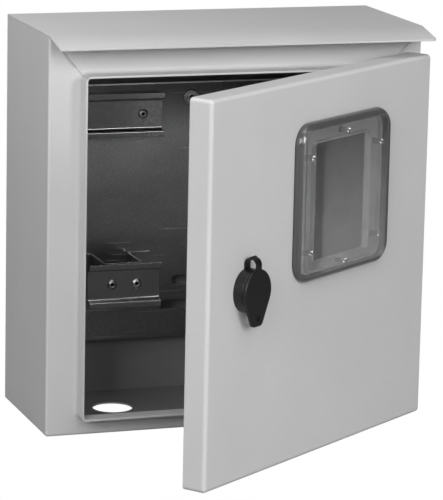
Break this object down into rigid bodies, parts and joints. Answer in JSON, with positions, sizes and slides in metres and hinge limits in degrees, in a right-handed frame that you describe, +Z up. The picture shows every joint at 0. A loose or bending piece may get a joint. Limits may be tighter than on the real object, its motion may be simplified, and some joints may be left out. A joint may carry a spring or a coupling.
{
  "type": "electric meter box",
  "caption": "Wall-mounted sheet-steel electric meter box with a rain visor, a hinged door with a clear window and capped quarter-turn lock, and a mounting plate with rails inside.",
  "frame": {"origin": "middle of the rectangle of wall holes, on the back face", "axes": "+X to the box's right seen from the front, +Y backwards into the wall, +Z up"},
  "size_m": [0.3008, 0.311, 0.31],
  "materials": {
    "case_paint": "fine-textured powder coat",
    "door_paint": "fine-textured powder coat",
    "galvanised_steel": "bare galvanised, scuffed",
    "zinc_steel": "zinc plated",
    "zinc_casting": "plated die casting",
    "clear_plastic": "clear moulding",
    "translucent_plastic": "smoky translucent moulding",
    "black_plastic": "satin black",
    "black_rubber": "matt",
    "foam_rubber": "closed-cell foam"
  },
  "bodies": {
    "case": {"case_shell": "case_paint", "upper_flange": "case_paint", "roof_panel": "case_paint", "back_panel": "case_paint", "mounting_plate": "galvanised_steel", "plate_bushes": "zinc_steel", "plate_eyelets": "zinc_steel", "upper_din_rail": "galvanised_steel", "upper_rail_rivets": "zinc_steel", "rail_bracket": "galvanised_steel", "lower_din_rail": "galvanised_steel", "lower_rail_rivets": "zinc_steel", "earth_stud": "zinc_steel", "earth_washer": "zinc_steel", "earth_nut": "zinc_steel", "case_hinge_upper": "case_paint", "case_hinge_lower": "case_paint", "hinge_pin_upper": "zinc_steel", "hinge_pin_lower": "zinc_steel", "hinge_washers": "zinc_steel"},
    "door": {"door_panel": "door_paint", "door_seal": "foam_rubber", "door_hinge_upper": "door_paint", "door_hinge_lower": "door_paint", "window_cover": "clear_plastic", "window_gasket": "black_rubber", "window_frame": "translucent_plastic", "window_clips": "zinc_steel", "lock_body": "zinc_casting", "lock_nut": "zinc_casting", "lock_collar": "black_plastic"},
    "latch": {"lock_rotor": "zinc_casting", "lock_cam": "galvanised_steel", "cam_washer": "zinc_steel", "cam_screw": "zinc_steel"},
    "cap": {"lock_cap": "black_plastic"}
  },
  "joints": [
    {"name": "door_hinge", "type": "hinge", "parent": "case", "child": "door", "pos_m": [0.141, -0.1335, 0], "axis": [0, 0, 1], "range_deg": [-36.4, 62]},
    {"name": "latch_turn", "type": "hinge", "parent": "door", "child": "latch", "pos_m": [-0.04844, -0.28435, -0.0081], "axis": [-0.5934, 0.8049, 0], "range_deg": [0, 90]},
    {"name": "cap_hinge", "type": "hinge", "parent": "door", "child": "cap", "pos_m": [-0.045, -0.28902, 0.01615], "axis": [-0.8049, -0.5934, 0], "range_deg": [0, 120]}
  ]
}
